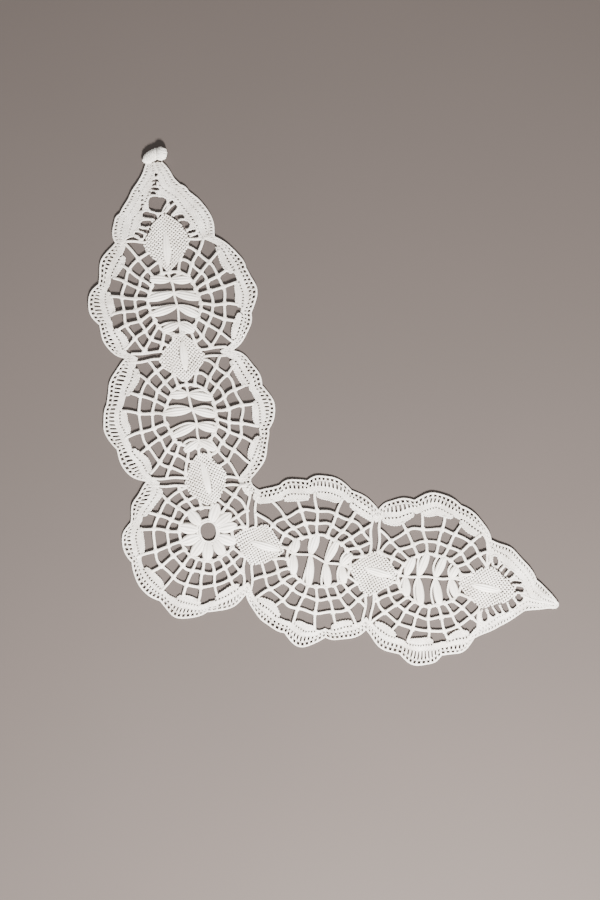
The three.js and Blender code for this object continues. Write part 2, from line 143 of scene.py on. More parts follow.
# The outline in two runs from the upper tip to the lower one, bulge outwards to the next row.
OUTER_RUN = [
    # x, y, bulge
    (-98.6, 138.4, -0.4), (-107.0, 123.0, 0.3), (-114.4, 108.8, 0.3), (-117.6, 106.2, 1.4),
    (-116.4, 92.7, 3.4), (-126.3, 69.6, 6.2), (-126.0, 46.4, 4.6), (-110.2, 27.4, 3.2),
    (-121.8, 1.6, 4.4), (-116.4, -23.7, 4.8), (-98.2, -42.4, 3.0), (-108.4, -65.4, 5.4),
    (-107.4, -87.4, 4.4), (-91.4, -109.8, 7.2), (-64.6, -115.2, 3.4), (-42.6, -105.6, 4.0),
    (-21.4, -127.7, 7.0), (1.4, -129.7, 4.0), (25.0, -125.3, 3.0), (43.4, -140.1, 6.2),
    (67.8, -140.2, 3.4), (85.6, -130.8, 0.5), (100.0, -123.8, 0.4), (114.0, -115.6, -0.6),
    (131.0, -113.6, 1.6),
]
NECK_RUN = [
    # x, y, bulge
    (-90.4, 138.0, 0.4), (-79.6, 125.2, 0.6), (-75.4, 121.9, 4.2), (-60.0, 95.6, 3.2),
    (-43.0, 78.4, 4.6), (-39.8, 53.6, 3.8), (-51.0, 32.0, 4.2), (-33.6, 12.0, 5.8),
    (-30.4, -13.0, 3.8), (-39.6, -40.2, -1.6), (-35.4, -46.9, 0.4), (-24.0, -44.2, 2.4),
    (-9.0, -41.3, 5.4), (16.4, -46.7, 2.4), (31.4, -58.2, 3.4), (52.4, -52.2, 5.6),
    (78.8, -55.6, 3.2), (95.2, -74.8, 4.4), (120.6, -97.4, 0.8), (132.2, -109.4, 0.0),
]
SEAMS = [
    # outer x, outer y, neck x, neck y
    (-116.4, 92.7, -60.0, 95.6),
    (-110.2, 27.4, -51.0, 32.0),
    (-98.2, -42.4, -39.6, -42.0),
    (-42.6, -105.6, -38.6, -44.4),
    (25.0, -125.3, 31.4, -58.2),
    (86.4, -130.4, 95.2, -74.8),
]
TIP_GAPS = [
    # x, y, length, width, heading
    (-93.1, 114.7, 9.6, 8.0, 0), (-97.1, 108.0, 7.4, 3.3, -5), (-99.3, 103.3, 5.8, 2.8, 5),
    (-101.0, 100.0, 5.6, 1.4, -25), (-103.8, 97.6, 4.8, 2.6, -15), (-107.2, 93.8, 6.6, 3.4, 25),
    (-84.5, 110.9, 6.8, 2.6, 45), (-85.6, 114.8, 3.2, 2.0, 30), (-88.3, 112.2, 3.6, 0.8, 60),
    (-80.5, 107.1, 5.4, 2.2, 15), (-77.9, 103.0, 5.4, 4.0, -10), (-73.3, 99.3, 4.2, 1.3, 15),
    (-71.8, 96.0, 5.2, 1.6, 25), (91.9, -117.5, 5.8, 2.3, 85), (95.6, -115.8, 6.0, 2.5, -58),
    (99.4, -114.4, 5.4, 2.4, -54), (103.5, -112.8, 5.9, 3.0, -58), (107.4, -110.7, 5.1, 3.1, -54),
    (111.0, -108.0, 4.6, 3.3, -38), (111.8, -103.3, 4.6, 3.0, 0), (110.0, -99.3, 5.2, 1.5, 6),
    (106.4, -94.7, 4.3, 2.8, 52), (103.0, -93.1, 4.3, 2.5, 60), (100.0, -90.7, 4.6, 0.9, 48),
    (97.7, -86.6, 5.3, 2.2, 85), (94.7, -89.6, 3.8, 1.0, 78), (93.4, -84.8, 5.6, 1.5, 86),
]
TIP_SLITS = [
    # x, y, length, width, heading
    (-94.2, 131.0, 2.2, 1.4, 90), (-94.5, 127.3, 3.6, 1.1, 10), (-94.2, 125.2, 3.0, 0.9, 5),
    (-93.5, 123.0, 4.0, 1.2, 5), (-94.8, 120.6, 3.0, 1.2, 0), (-103.2, 122.4, 1.0, 0.9, 0),
    (-101.4, 119.4, 1.0, 1.0, 0), (-101.6, 116.8, 1.2, 1.1, 0), (-101.8, 114.0, 1.4, 1.1, 90),
    (-102.0, 111.4, 1.2, 1.0, 90),
]
TIP_ENDS = [np.array([-94.5, 138.2]), np.array([131.6, -111.5])]
LOWER_END = [(129.6, -113.5), (131.6, -113.2), (132.9, -112.0), (133.0, -110.6), (131.6, -109.4)]
LOWER_END_INSET = (-1.1, 0.3)  # from the plait round the lower tip's end to the one inside it
ROWS = {
    # depth in the edging at a roundel, and at a tip, where the band has its full depth
    "hem": (0.65, 0.65),
    "holes_low": (1.25, 1.3),
    "holes_high": (2.6, 2.5),
    "cord": (3.05, 2.95),
    "ladder_low": (3.5, 5.4),
    "far_low": (7.5, 10.8),
    "far_high": (7.5, 11.9),
}
KNOT_LOBES = [
    # x, y, z, half length, half width, half height, heading
    (-95.6, 142.0, 1.5, 5.4, 3.4, 2.0, 20),
    (-90.6, 142.6, 1.8, 3.8, 3.4, 2.4, 80),
    (-98.0, 139.9, 1.1, 3.0, 2.0, 1.5, -5),
]

LAY = 0.6  # height of the threads' middle over the surface
STRAND = 0.235  # radius of a plait's strand, as a share of the plait's width
WEB_PLAIT = 1.76  # width of the plaits of the webs
SPINE_PLAIT = 1.5  # of the spine
LEAF_PLAITS = {"fork": 1.25, "stem": 1.6, "arch": 1.35}  # of the plaits that hold the leaves
RIM_PLAIT = 1.3  # of the plaits round the eye and round the lower tip
NOTCH_BAND = 7.0  # depth of the edging at a notch
NOTCH_EASE = 0.5  # how much deeper it gets with each mm away from the notch
NOTCH_BAR = 2.2  # from a seam to the plait beside it
NOTCH_REACH = 14  # how far along the outline a notch draws the edging together
FULL_BAND = 7.5  # depth from which the edging's rows have their own depths
TIP_BAND = 8.5  # greatest depth of a tip's edging beside its seam
SEAM_EASE = 9  # how far from a seam the bars of the rows get wider
TIP_EASE = 12  # how far from its seam a tip takes on its own rows
SPOKE_REACH = 40  # past the end of the longest spoke
IN_EDGING = 2.0  # how far a spoke runs into the edging's band
IN_FAN = 0.9  # and into a fan
LEAF_HEIGHT = 1.7
RIBS = 3  # of a leaf
WARP = 0.5  # from thread to thread of the clothwork, along the edging
WEFT = 0.6  # and across it
NET_THREAD = 0.42  # radius
WINDINGS = 30  # turns of thread round a lobe of the knot
WINDING_THREAD = 0.28  # radius
STEP = 0.25  # sampling along the outline


# ---------------------------------------------------------------- the drawing of the lace


def unit(degrees):
    angle = math.radians(degrees)
    return np.array([math.cos(angle), math.sin(angle)])


def evenly(points, step):
    """The same path with points at even steps, as an array of x and y."""
    points = np.asarray(points, float)
    lengths = np.hypot(*np.diff(points, axis=0).T)
    along = np.concatenate([[0], np.cumsum(lengths)])
    count = max(2, int(round(along[-1] / step)) + 1)
    stations = np.linspace(0, along[-1], count)
    return np.column_stack([np.interp(stations, along, points[:, i]) for i in range(2)])


def arcs(rows, side):
    """A run of the outline; side is 1 where outwards is to the right of the run."""
    points = []
    for (x, y, bulge), (next_x, next_y, _) in zip(rows, rows[1:]):
        start, chord = np.array([x, y]), np.array([next_x - x, next_y - y])
        left = np.array([-chord[1], chord[0]]) / np.hypot(*chord)
        for t in np.linspace(0, 1, 24, endpoint=False):
            points.append(start + chord * t - left * side * bulge * 4 * t * (1 - t))
    points.append(np.array(rows[-1][:2]))
    return evenly(points, STEP)


def polar_of(points, middle):
    gap = points - np.asarray(middle)
    return np.hypot(*gap.T), np.degrees(np.arctan2(gap[:, 1], gap[:, 0]))


def ring_radius(index, ring, degrees):
    _, _, _, heading, half_length, outer, neck = ROUNDELS[index]
    width_share, length_share, square = RINGS[ring]
    turn = np.radians(np.asarray(degrees, float) - heading)
    sine = np.sin(turn)
    across = np.abs(sine) / (width_share * np.where(sine > 0, outer, neck))
    along = np.abs(np.cos(turn)) / (length_share * half_length)
    return (across**square + along**square) ** (-1 / square)


def fans_at(index, degrees):
    """In these directions: how full a fan is, and how far its outer edge lies inside the ring."""
    degrees = np.asarray(degrees, float)
    swell = np.zeros_like(degrees)
    for start, end, _ in FANS[index]:
        place = (degrees - start) % 360 / (end - start)
        arc = np.sin(np.pi * np.clip(place, 0, 1)) ** 0.4
        swell = np.where(place < 1, arc, swell)
    middles = [(start + end) / 2 for start, end, _ in FANS[index]]
    edges = [inner - FAN_CLOTH for _, _, inner in FANS[index]]
    return swell, np.interp(degrees, middles, edges, period=360)


def in_web(index, points):
    _, x, y, *_ = ROUNDELS[index]
    radius, degrees = polar_of(points, (x, y))
    return radius < ring_radius(index, 3, degrees)


def in_fan(index, points, grow=0.0):
    """True past the inner edge of a fan."""
    _, x, y, *_ = ROUNDELS[index]
    radius, degrees = polar_of(points, (x, y))
    swell, edge = fans_at(index, degrees)
    inner = ring_radius(index, 3, degrees) - edge - FAN_CLOTH * swell
    return (swell > 0) & (radius > inner - grow)


def in_oval(points, x, y, half_length, half_width, heading, square):
    gap = points - np.array([x, y])
    along = np.abs(gap @ unit(heading)) / half_length
    across = np.abs(gap @ unit(heading + 90)) / half_width
    return along**square + across**square < 1


def in_net(number, points, grow=0.0):
    x, y, along, across, heading = NETS[number][:5]
    more = 1.2 * grow
    return in_oval(points, x, y, along + more, across + more, heading, NET_SQUARE)


def in_any_net(points, grow=0.0):
    return np.any([in_net(i, points, grow) for i in range(len(NETS))], axis=0)


def in_gaps(points, gaps, grow=0.0):
    inside = [
        in_oval(points, x, y, length / 2 + grow, width / 2 + grow, heading, 3)
        for x, y, length, width, heading in gaps
    ]
    return np.any(inside, axis=0)


def bar_offset(seam):
    """How far from a seam the plait beside it runs; at the tips it runs on the seam."""
    return 0.0 if seam in (SEAMS[0], SEAMS[5]) else NOTCH_BAR


def beside_seams(index, points):
    """True on the roundel's own side of the plaits beside the seams before and after it."""
    _, x, y, *_ = ROUNDELS[index]
    own = np.ones(len(points), bool)
    for seam in (SEAMS[index], SEAMS[index + 1]):
        ax, ay, bx, by = seam
        along = np.array([bx - ax, by - ay])
        across = np.array([-along[1], along[0]]) / np.hypot(*along)
        side = (points - np.array([ax, ay])) @ across
        middle_side = (np.array([x, y]) - np.array([ax, ay])) @ across
        own &= side * np.sign(middle_side) > bar_offset(seam)
    return own


# ---------------------------------------------------------------- threads


def lift(points):
    """The work lies a little uneven: how much higher the threads run at these places."""
    x, y = points[:, 0], points[:, 1]
    long_wave = np.sin(x / 9.3 + 1.3) * np.cos(y / 8.1) + np.sin((x + y) / 13.7)
    short_wave = np.sin(x / 2.9 - y / 3.7) * np.cos(x / 4.3 + y / 2.3)
    return 0.13 * (long_wave + 2) + 0.07 * (short_wave + 1)


def drift(points):
    """Where these places really lie: handwork is nowhere quite even."""
    x, y = points[:, 0], points[:, 1]
    aside = 0.34 * np.sin(y / 2.6 + 1.7 * np.sin(x / 9.0)) + 0.24 * np.sin((x - y) / 4.1)
    along = 0.34 * np.sin(x / 2.5 + 1.9 * np.sin(y / 8.0) + 2) + 0.24 * np.sin((x + y) / 3.9)
    return points + np.column_stack([aside, along])


class Threads:
    """Threads of one piece, gathered here and then drawn as closed round cord."""

    def __init__(self):
        self.lines = []

    def lay(self, points, heights, radius, closed=False):
        """points are x and y, heights are of the thread's middle over the lie of the work."""
        points = np.asarray(points, float)
        if len(points) < 2:
            return
        high = np.maximum(np.asarray(heights, float) + lift(points), radius)
        self.lines.append((np.column_stack([drift(points), high]), radius, closed))

    def lay_where(self, keep, points, heights, radius):
        """Only the stretches where keep is true."""
        heights = np.broadcast_to(heights, len(points))
        edges = np.flatnonzero(np.diff(np.concatenate([[0], keep.astype(int), [0]])))
        for start, end in zip(edges[::2], edges[1::2]):
            self.lay(points[start:end], heights[start:end], radius)

    def mesh(self, name):
        curve = bpy.data.curves.new(name, "CURVE")
        curve.dimensions = "3D"
        curve.bevel_depth = MM
        curve.bevel_resolution = 0
        curve.use_fill_caps = True
        for points, radius, closed in self.lines:
            spline = curve.splines.new("POLY")
            spline.points.add(len(points) - 1)
            place = np.ones((len(points), 4))
            place[:, :2] = (points[:, :2] + SHIFT) * MM
            place[:, 2] = points[:, 2] * MM
            spline.points.foreach_set("co", place.ravel())
            spline.points.foreach_set("radius", np.full(len(points), radius))
            spline.use_cyclic_u = closed
            spline.use_smooth = True
        drawn = bpy.data.objects.new(name, curve)
        mesh = bpy.data.meshes.new_from_object(drawn)
        bpy.data.objects.remove(drawn)
        bpy.data.curves.remove(curve)
        welded = bmesh.new()
        welded.from_mesh(mesh)
        bmesh.ops.remove_doubles(welded, verts=welded.verts, dist=0.0002 * MM)
        welded.to_mesh(mesh)
        welded.free()
        return mesh


def beside(path):
    """Unit vectors to the left of each point of a path."""
    along = np.gradient(path, axis=0)
    along /= np.maximum(np.hypot(*along.T), 1e-9)[:, None]
    return np.column_stack([-along[:, 1], along[:, 0]])


def plait(threads, path, width=1.15, strands=3, pitch=2.5, base=LAY, keep=None):
    """A plait of interlaced strands along a path, drawn with six places to a pitch."""
    points = evenly(path, pitch / 6)
    phase = np.arange(len(points)) / 6
    left = beside(points)
    radius = width * STRAND
    sway = width / 2 - radius
    shown = np.ones(len(points), bool) if keep is None else keep(points)
    for number in range(strands):
        turn = 2 * np.pi * (phase + number / strands)
        over = 0.25 * width * np.cos(turn) if strands == 2 else 0.17 * width * np.sin(2 * turn)
        moved = points + left * (sway * np.sin(turn))[:, None]
        threads.lay_where(shown, moved, base + over, radius)


# ---------------------------------------------------------------- webs


def web_threads(index):
    threads = Threads()
    name, x, y, heading, *_ = ROUNDELS[index]
    middle = np.array([x, y])

    def own(points):
        return ~in_any_net(points, NET_HOLD) & beside_seams(index, points)

    full_turn = np.arange(0, 360, 1.5)
    for ring in range(3):
        radius = ring_radius(index, ring, full_turn)
        scallop = 0.35 * np.sin(np.radians(full_turn * 11)) if ring else 0 * full_turn
        loop = middle + (radius + scallop)[:, None] * np.array([unit(d) for d in full_turn])
        loop = np.vstack([loop, loop[:1]])
        plait(threads, loop, width=WEB_PLAIT, keep=own, base=LAY - 0.05)
    for spoke in SPOKES[index]:
        start = float(ring_radius(index, 0, spoke))
        whole = middle + np.outer(np.arange(start, start + SPOKE_REACH, 0.3), unit(spoke))
        outside = in_edging(whole, -IN_EDGING) | in_fan(index, whole, -IN_FAN)
        outside |= ~beside_seams(index, whole)
        end = int(np.argmax(outside)) if np.any(outside) else len(whole)
        plait(threads, whole[:end], width=WEB_PLAIT, keep=own, base=LAY + 0.12)
        for ring in range(3):
            place = middle + float(ring_radius(index, ring, spoke)) * unit(spoke)
            if own(place[None])[0] and not in_edging(place[None], -0.5)[0]:
                crossing(threads, place, spoke)
    notch_bars(threads, index)

    def in_disc(points):
        radius, degrees = polar_of(points, middle)
        return own(points) & (radius < ring_radius(index, 0, degrees) + 0.4)

    if name == "corner":
        eye_rim(threads)
        return threads
    rows = LEAF_PAIRS[name]
    nodes = [np.array(row[:2]) for row in rows]
    up = nodes[0] + 9 * unit(heading)
    down = nodes[-1] + 9 * unit(heading + 180)
    plait(threads, evenly([up, *nodes], 0.4), width=SPINE_PLAIT, keep=in_disc)
    fork = 1.2 * unit(heading + 90)
    for end in (down + fork, down - fork):
        plait(threads, [nodes[-1], end], width=LEAF_PLAITS["fork"], keep=in_disc)
    for row in rows:
        for node, tip in leaf_ends(index, row):
            reach = tip - node
            stem = [tip - reach * 0.1, tip + reach * 0.15]
            plait(threads, stem, width=LEAF_PLAITS["stem"], keep=in_disc)
            plait(threads, arch(node, tip, heading), width=LEAF_PLAITS["arch"], keep=in_disc)
    return threads


def leaf_ends(index, row):
    """The spine's node and the far end, on the first ring, of the two leaves of a pair."""
    _, x, y, *_ = ROUNDELS[index]
    node = np.array(row[:2])
    ends = []
    for tip in (np.array(row[2:4]), np.array(row[4:6])):
        stretched = node + np.outer(np.linspace(0.8, 1.35, 56), tip - node)
        radius, degrees = polar_of(stretched, (x, y))
        met = int(np.argmax(radius > ring_radius(index, 0, degrees) + 0.2))
        ends.append((node, stretched[met] if met else tip))
    return ends


def crossing(threads, place, heading):
    """The knot where two plaits cross: a thread drawn round them."""
    corners = heading + 45 + np.arange(8) * 45
    reach = np.where(np.arange(8) % 2, 0.85, 1.3)
    loop = place + reach[:, None] * np.array([unit(corner) for corner in corners])
    threads.lay(loop, LAY + 0.1 + 0 * reach, 0.42, closed=True)


def notch_bars(threads, index):
    """The plaits beside the two seams, between the edging and the corners of a net."""
    _, x, y, *_ = ROUNDELS[index]
    inset = NOTCH_BAND * 0.4

    def between(points):
        return ~in_any_net(points, NET_HOLD)

    for seam in (SEAMS[index], SEAMS[index + 1]):
        a, b = np.array(seam[:2]), np.array(seam[2:])
        across = (b - a) / np.hypot(*(b - a))
        along = np.array([-across[1], across[0]])
        along = along * np.sign((np.array([x, y]) - a) @ along)
        bar = evenly([a + across * inset, b - across * inset], 0.4) + along * bar_offset(seam)
        plait(threads, bar, width=WEB_PLAIT * 0.9, keep=between)


def arch(node, tip, heading):
    """The thin plait that bows over a leaf, on its side towards the upper tip."""
    reach = tip - node
    across = unit(heading) * (LEAF_WIDTH * 0.5 + 1.1)
    stations = np.linspace(0, 1.12, 24)
    bow = np.sin(np.pi * np.minimum(stations, 1) * 0.62) ** 0.8
    return node + stations[:, None] * reach + bow[:, None] * across


def eye_rim(threads):
    x, y, length, width, heading = EYE
    turns = np.linspace(0, 2 * np.pi, 60)
    for grow in (0.8, 2.0):
        along = np.outer(np.cos(turns) * (length / 2 + grow), unit(heading))
        across = np.outer(np.sin(turns) * (width / 2 + grow), unit(heading + 90))
        plait(threads, np.array([x, y]) + along + across, width=RIM_PLAIT)


def leaf_shape(target, a, b, width, blunt=1.0):
    """A woven leaf from a to b: ribs lengthwise, drawn in at the ends, rounded over.

    With blunt over 1 the leaf still has some of its width at b.
    """
    rows, columns = 24, 5 * RIBS
    base = float(lift(np.array([(a + b) / 2]))[0])
    a, b = drift(np.array([a, b]))
    length = float(np.hypot(*(b - a)))
    heading = math.atan2(b[1] - a[1], b[0] - a[0])
    one = bmesh.new()
    bmesh.ops.create_grid(one, x_segments=rows, y_segments=columns, size=0.5, calc_uvs=True)
    back = bmesh.ops.duplicate(one, geom=one.faces[:])["geom"]
    below = {v for v in back if isinstance(v, bmesh.types.BMVert)}
    bmesh.ops.reverse_faces(one, faces=[f for f in back if isinstance(f, bmesh.types.BMFace)])
    for vert in one.verts:
        along, across = vert.co.x + 0.5, 2 * vert.co.y
        swell = max(0.14, math.sin(math.pi * along / blunt) ** 0.55)
        crown = math.sqrt(max(0.0, 1 - across**2))
        rib = 0.5 + 0.5 * math.cos(math.pi * RIBS * (across + 1) + math.pi)
        top = (0.3 + 0.7 * swell) * LEAF_HEIGHT * (0.44 + 0.4 * crown + 0.24 * rib * crown)
        edge = 0.35 * LEAF_HEIGHT
        if min(along, 1 - along) < 0.001:
            level = edge
        elif vert in below:
            level = edge * (1 - crown) + 0.12 * LEAF_HEIGHT * crown
        else:
            level = edge + (top - edge) * min(1.0, 2.2 * crown)
        vert.co = Vector((along * length, across * width / 2 * swell, level + base))
    bmesh.ops.remove_doubles(one, verts=one.verts, dist=0.012)
    bmesh.ops.rotate(one, verts=one.verts, cent=(0, 0, 0), matrix=Matrix.Rotation(heading, 3, "Z"))
    bmesh.ops.translate(one, verts=one.verts, vec=(a[0] + SHIFT[0], a[1] + SHIFT[1], 0))
    bmesh.ops.scale(one, verts=one.verts, vec=(MM, MM, MM))
    add_to(target, one)


def add_to(target, one):
    """Moves the mesh one into the bmesh target."""
    passed = bpy.data.meshes.new("passed")
    one.to_mesh(passed)
    one.free()
    target.from_mesh(passed)
    bpy.data.meshes.remove(passed)


def web_leaves(index):
    name = ROUNDELS[index][0]
    leaves = bmesh.new()
    if name == "corner":
        for degrees in PETAL_HEADINGS:
            heading = unit(degrees)
            middle = np.array(EYE[:2])
            a, b = middle + PETAL["inner"] * heading, middle + PETAL["outer"] * heading
            leaf_shape(leaves, a, b, PETAL["width"])
        return leaves
    for row in LEAF_PAIRS[name]:
        for node, tip in leaf_ends(index, row):
            leaf_shape(leaves, node, tip, LEAF_WIDTH, blunt=1.1)
    return leaves


# ---------------------------------------------------------------- nets


def net_threads(number):
    """Two sets of slanting threads, each over one and under the next."""
    threads = Threads()
    x, y, along, across, heading, leaf_x, leaf_y, leaf_length, leaf_width = NETS[number]
    middle = np.array([x, y])
    reach = max(along, across) + 4
    stations = np.arange(-reach, reach, NET_PITCH / 4)

    def open_net(points):
        leaf = in_oval(points, leaf_x, leaf_y, leaf_length / 2, leaf_width * 0.4, heading, 2)
        return in_net(number, points, -0.8) & ~leaf

    for slant, parity in ((heading + 47, 0), (heading - 47, 1)):
        run, side = unit(slant), unit(slant + 90)
        count = int(reach / NET_PITCH)
        for k in range(-count, count + 1):
            phase = np.pi * (stations / NET_PITCH + k + parity)
            offset = k * NET_PITCH + 0.1 * np.sin(2 * phase)
            points = middle + np.outer(stations, run) + np.outer(offset, side)
            threads.lay_where(open_net(points), points, LAY + 0.2 * np.cos(phase), NET_THREAD)
    return threads


def net_leaf(number):
    heading, leaf_x, leaf_y, leaf_length, leaf_width = NETS[number][4:]
    leaf = bmesh.new()
    half = unit(heading) * leaf_length / 2
    middle = np.array([leaf_x, leaf_y])
    leaf_shape(leaf, middle - half, middle + half, leaf_width * 1.1)
    return leaf


# ---------------------------------------------------------------- edging


class Run:
    """One run of the outline, with the way in towards the spine and how deep the edging is."""

    def __init__(self, rows, side, at_outer):
        self.points = arcs(rows, side)
        self.length = np.arange(len(self.points)) * STEP
        self.cuts = [0]
        for seam in SEAMS:
            place = np.array(seam[:2] if at_outer else seam[2:])
            self.cuts.append(int(np.argmin(np.hypot(*(self.points - place).T))))
        self.cuts.append(len(self.points) - 1)
        self.aim()
        self.measure()

    def aim(self):
        """Each place on the outline looks at a place on the spine."""
        middles = [(np.array(seam[:2]) + np.array(seam[2:])) / 2 for seam in SEAMS]
        target = np.zeros_like(self.points)
        for bay in range(7):
            start, end = self.cuts[bay], self.cuts[bay + 1]
            t = np.linspace(0, 1, end - start + 1)[:, None]
            if bay == 0:
                line = TIP_ENDS[0] + (middles[0] - TIP_ENDS[0]) * t
            elif bay == 6:
                line = middles[5] + (TIP_ENDS[1] - middles[5]) * t
            else:
                centre = np.array(ROUNDELS[bay - 1][1:3])
                pull = (2 * t - 1) ** 2
                ends = np.where(t < 0.5, middles[bay - 1], middles[bay])
                line = centre + (ends - centre) * pull
            target[start : end + 1] = line
        gap = target - self.points
        self.room = np.hypot(*gap.T)
        self.inwards = gap / self.room[:, None]

    def way_in(self):
        """How far in from each place the own web, a net or the spine is."""
        met = self.room.copy()
        for bay in range(7):
            part = slice(self.cuts[bay], self.cuts[bay + 1] + 1)
            for depth in np.arange(0, 26, 0.2)[::-1]:
                places = self.points[part] + self.inwards[part] * depth
                inside = in_any_net(places, 0.2)
                if 0 < bay < 6:
                    inside |= in_web(bay - 1, places)
                met[part] = np.where(inside, np.minimum(depth, met[part]), met[part])
        return met

    def measure(self):
        """The depth of the edging's band and of its fans, and the depths of its rows."""
        plain = self.way_in()
        from_seam = np.min([np.abs(self.length - self.length[c]) for c in self.cuts[1:7]], axis=0)
        self.near_seam = np.clip(1 - from_seam / SEAM_EASE, 0, 1)
        tip = np.zeros(len(self.points), bool)
        tip[: self.cuts[1]] = True
        tip[self.cuts[6] :] = True
        notch = np.clip(1 - from_seam / NOTCH_REACH, 0, 1) ** 1.5
        band = np.minimum(plain, NOTCH_BAND + NOTCH_EASE * from_seam)
        band = band * (1 - notch) + NOTCH_BAND * notch
        band = np.where(tip, np.minimum(band, TIP_BAND), band)
        smooth = np.ones(21) / 21
        band = np.convolve(np.pad(band, 10, mode="edge"), smooth, mode="valid")
        self.band = np.minimum(band, self.room)
        self.swell, self.fan_low = np.zeros(len(plain)), self.band.copy()
        for bay in range(1, 6):
            part = slice(self.cuts[bay], self.cuts[bay + 1] + 1)
            edge = self.points[part] + self.inwards[part] * self.band[part, None]
            _, degrees = polar_of(edge, ROUNDELS[bay - 1][1:3])
            self.swell[part], inwards = fans_at(bay - 1, degrees)
            self.fan_low[part] += inwards * (1 - notch[part])
        self.fan_low = np.minimum(self.fan_low, self.room)
        self.depth = np.where(tip, plain, self.fan_low + FAN_CLOTH * self.swell)
        ease = np.where(tip, np.clip(from_seam / TIP_EASE, 0, 1), 0)
        self.rows = {}
        tight = np.minimum(1, self.band / FULL_BAND)
        for name, (at_bay, at_tip) in ROWS.items():
            self.rows[name] = tight * (at_bay + (at_tip - at_bay) * ease)
        self.rows["holes"] = self.fan_low - FAN_HOLES * np.minimum(1, 1.6 * self.swell)
        inner = np.where(tip, 0, self.fan_low - FAN_HOLES - BAND_CLOTH)
        self.rows["ladder_high"] = np.maximum(inner, self.rows["ladder_low"] + 1.1 * tight)

    def at(self, along, depth):
        """The place at this length along the run and this deep in."""
        along = np.asarray(along, float)
        place = np.column_stack([np.interp(along, self.length, self.points[:, i]) for i in (0, 1)])
        way = np.column_stack([np.interp(along, self.length, self.inwards[:, i]) for i in (0, 1)])
        return place + way * np.asarray(depth)[..., None]

    def value(self, along, values):
        return np.interp(along, self.length, values)


outer_run = Run(OUTER_RUN, 1, True)
neck_run = Run(NECK_RUN, -1, False)


def in_edging(points, grow=0.0):
    """True where a place is within the band of the edging."""
    inside = np.zeros(len(points), bool)
    for run in (outer_run, neck_run):
        outline, band = run.points[::3], run.band[::3]
        gap = points[:, None] - outline[None]
        distance = np.hypot(gap[..., 0], gap[..., 1])
        nearest = np.argmin(distance, axis=1)
        inside |= np.min(distance, axis=1) < band[nearest] + grow
    return inside


def clear_of_gaps(points):
    return ~in_gaps(points, TIP_GAPS, 0.2) & ~in_gaps(points, TIP_SLITS, 0.15)


def row_of_bars(threads, run, start, end, low, high, pitch, width):
    """Short bars across an open row, each two threads laid side by side."""
    count = max(2, int(round((end - start) / pitch)))
    for k in range(count):
        along = start + (k + 0.5) * (end - start) / count
        bottom, top = float(run.value(along, low)), float(run.value(along, high))
        if top - bottom < 0.35:
            continue
        wide = width * (1 + 0.4 * float(run.value(along, run.near_seam)))
        depths = np.linspace(bottom - 0.15, top + 0.15, max(3, int((top - bottom) / 0.6) + 2))
        cross = np.linspace(-1, 1, len(depths))
        for side in (-1, 1):
            beside_bar = side * wide * (0.2 + 0.1 * cross**2)
            points = run.at(np.full(len(depths), along) + beside_bar, depths)
            heights = LAY + 0.06 * side + 0 * depths
            threads.lay_where(clear_of_gaps(points), points, heights, wide * 0.27)


def clothwork(threads, run, start, end, low, high):
    """Close weaving between two depths: threads along the run, and one going to and fro."""
    deepest = float(np.max(run.value(np.arange(start, end, 1.0), high - low)))
    stations = np.arange(start, end + 1e-6, WEFT)
    bottom, top = run.value(stations, low), run.value(stations, high)
    turn = np.where(np.arange(len(stations)) % 2, 1, -1)
    for k in range(int(deepest / WARP) + 1):
        depths = bottom + (k + 0.5) * WARP
        points = run.at(stations, depths)
        keep = (depths < top - 0.1) & clear_of_gaps(points)
        sign = 1 if k % 2 else -1
        threads.lay_where(keep, points, LAY + 0.15 * sign * turn, WARP * 0.46)
    path, heights, kept = [], [], []
    for j, along in enumerate(stations):
        count = int((top[j] - bottom[j]) / WARP)
        if count < 1:
            kept.append(False)
            path.append(run.at([along], np.array([bottom[j]]))[0])
            heights.append(LAY)
            continue
        order = np.arange(count + 1) if j % 2 else np.arange(count + 1)[::-1]
        for k in order:
            path.append(run.at([along], np.array([bottom[j] + k * WARP]))[0])
            heights.append(LAY + 0.16 * (1 if (k + j) % 2 else -1))
            kept.append(True)
    path = np.array(path)
    kept = np.array(kept) & clear_of_gaps(path)
    threads.lay_where(kept, path, np.array(heights), 0.24)


def picots(threads, run, start, end):
    """Small loops along the inner edge of the fans."""
    stations = np.arange(start, end, 0.28)
    depth = run.value(stations, run.depth)
    loops = np.abs(np.sin(np.pi * stations / 1.5))
    points = run.at(stations, depth - 0.7 + 0.75 * loops)
    keep = (run.value(stations, run.swell) > 0.3) & clear_of_gaps(points)
    threads.lay_where(keep, points, LAY + 0.12 * loops, 0.36)


